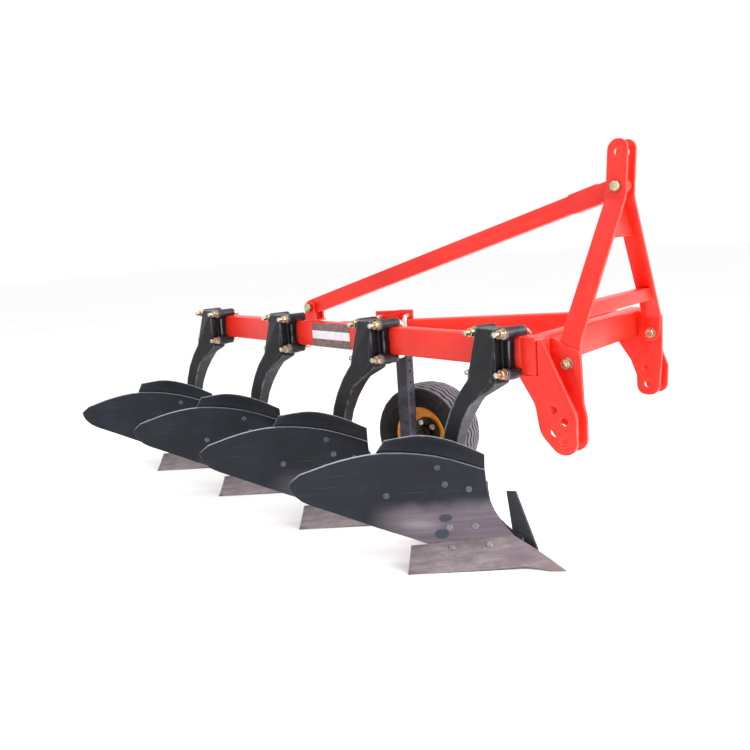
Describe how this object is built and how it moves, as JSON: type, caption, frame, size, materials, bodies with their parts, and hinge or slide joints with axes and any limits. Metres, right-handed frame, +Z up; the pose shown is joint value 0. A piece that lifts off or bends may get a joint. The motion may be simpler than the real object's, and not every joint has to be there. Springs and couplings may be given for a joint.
{
  "type": "four-furrow mounted mouldboard plough",
  "caption": "Mounted mouldboard plough on an oblique beam, with a three-point hitch mast and a height-adjustable gauge wheel.",
  "frame": {"origin": "middle of the base, at the level of the furrow bottom", "axes": "+X is the direction of travel, +Y the ploughman's left, towards the unploughed land, +Z up"},
  "size_m": [2.6854, 1.321, 1.306],
  "materials": {
    "red_paint": "glossy",
    "board_paint": "satin, worn to bare steel low down",
    "share_steel": "worn, brownish",
    "cast_black": "black paint on a rough casting",
    "zinc": "zinc plated",
    "rim_paint": "glossy",
    "tyre": "matt",
    "leg_paint": "satin"
  },
  "bodies": {
    "frame": {"beam_end_block": "red_paint", "brace_bracket": "red_paint", "brace_front_bolt": "zinc", "brace_rear_bolt": "zinc", "diagonal_beam": "red_paint", "front_cross_beam": "red_paint", "landside_1": "board_paint", "landside_2": "board_paint", "landside_3": "board_paint", "landside_4": "board_paint", "left_beam": "red_paint", "left_inner_hitch_plate": "red_paint", "left_mast_bar": "red_paint", "left_outer_hitch_plate": "red_paint", "mast_rail": "red_paint", "mast_spacer": "red_paint", "mouldboard_1": "board_paint", "mouldboard_2": "board_paint", "mouldboard_3": "board_paint", "mouldboard_4": "board_paint", "right_inner_hitch_plate": "red_paint", "right_mast_bar": "red_paint", "right_outer_hitch_plate": "red_paint", "shank_1": "cast_black", "shank_2": "cast_black", "shank_3": "cast_black", "shank_4": "cast_black", "share_1": "share_steel", "share_2": "share_steel", "share_3": "share_steel", "share_4": "share_steel", "top_brace": "red_paint", "trash_board_1": "board_paint", "trash_board_2": "board_paint", "trash_board_3": "board_paint", "trash_board_4": "board_paint", "u_bolt_1_front": "zinc", "u_bolt_1_rear": "zinc", "u_bolt_2_front": "zinc", "u_bolt_2_rear": "zinc", "u_bolt_3_front": "zinc", "u_bolt_3_rear": "zinc", "u_bolt_4_front": "zinc", "u_bolt_4_rear": "zinc", "wheel_bracket": "red_paint", "wheel_u_bolt_front": "zinc", "wheel_u_bolt_rear": "zinc"},
    "wheel_leg": {"wheel_leg": "leg_paint", "wheel_axle": "leg_paint"},
    "wheel": {"tyre": "tyre", "wheel_rim": "rim_paint", "wheel_hub": "cast_black"}
  },
  "joints": [
    {"name": "depth_adjust", "type": "slide", "parent": "frame", "child": "wheel_leg", "axis": [0, 0, 1], "range_m": [-0.05, 0.2]},
    {"name": "wheel_spin", "type": "hinge", "parent": "wheel_leg", "child": "wheel", "pos_m": [0.34808, 0.4412, 0.212], "axis": [0, 1, 0], "continuous": true}
  ]
}
